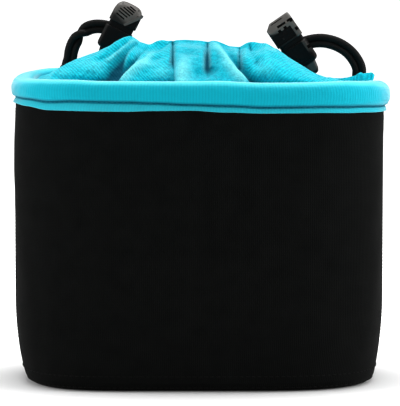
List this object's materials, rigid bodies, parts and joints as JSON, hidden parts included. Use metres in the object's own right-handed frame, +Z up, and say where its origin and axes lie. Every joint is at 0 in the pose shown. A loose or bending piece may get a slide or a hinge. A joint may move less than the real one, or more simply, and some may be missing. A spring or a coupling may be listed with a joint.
{
  "type": "neoprene camera pouch",
  "caption": "Padded neoprene camera pouch with a plush collar that two drawcords and spring cord locks gather shut over a knit rim band.",
  "frame": {"origin": "middle of the base's underside, where the pouch stands", "axes": "+Z up out of the mouth, -Y towards the front face, +X to the front's right, along the pouch's width"},
  "size_m": [0.1846, 0.1166, 0.1851],
  "materials": {
    "neoprene": "black jersey-faced neoprene, matte, fine knit",
    "plush": "turquoise ribbed plush, soft and fully matte",
    "knit": "turquoise rib-knit binding, matte",
    "bright_thread": "turquoise sewing thread",
    "dark_thread": "black sewing thread",
    "cord": "black braided cord",
    "lock_plastic": "charcoal moulded nylon, satin",
    "spring_steel": "plain spring wire"
  },
  "bodies": {
    "pouch": {"outer_front": "neoprene", "outer_back": "neoprene", "outer_base": "neoprene", "lining_front": "plush", "lining_back": "plush", "lining_base": "plush", "rim_band": "knit", "rim_strip": "knit", "rim_stitching": "bright_thread", "base_stitching": "dark_thread", "left_side_seam": "dark_thread", "right_side_seam": "dark_thread", "collar_front": "plush", "collar_back": "plush", "front_casing": "plush", "back_casing": "plush", "front_drawcord": "cord", "back_drawcord": "cord", "left_front_tail": "cord", "left_back_tail": "cord", "right_front_tail": "cord", "right_back_tail": "cord", "left_cord_knot": "cord", "right_cord_knot": "cord"},
    "left_lock": {"left_lock_barrel": "lock_plastic", "left_lock_spring": "spring_steel"},
    "left_plunger": {"left_lock_plunger": "lock_plastic"},
    "right_lock": {"right_lock_barrel": "lock_plastic", "right_lock_spring": "spring_steel"},
    "right_plunger": {"right_lock_plunger": "lock_plastic"}
  },
  "joints": [
    {"name": "left_lock_travel", "type": "hinge", "parent": "pouch", "child": "left_lock", "pos_m": [-0.0497, 0.004, 0.1559], "axis": [0, -1, 0], "range_deg": [0, 18]},
    {"name": "right_lock_travel", "type": "hinge", "parent": "pouch", "child": "right_lock", "pos_m": [0.0586, 0.004, 0.1438], "axis": [0, 1, 0], "range_deg": [0, 50]},
    {"name": "left_plunger_press", "type": "slide", "parent": "left_lock", "child": "left_plunger", "axis": [-0.454, 0, -0.891], "range_m": [0, 0.0025], "stiffness_N_per_m": 800, "springref_m": -0.001, "deforming": ["left_lock_spring"]},
    {"name": "right_plunger_press", "type": "slide", "parent": "right_lock", "child": "right_plunger", "axis": [0.5664, 0, -0.8241], "range_m": [0, 0.0025], "stiffness_N_per_m": 800, "springref_m": -0.001, "deforming": ["right_lock_spring"]}
  ]
}
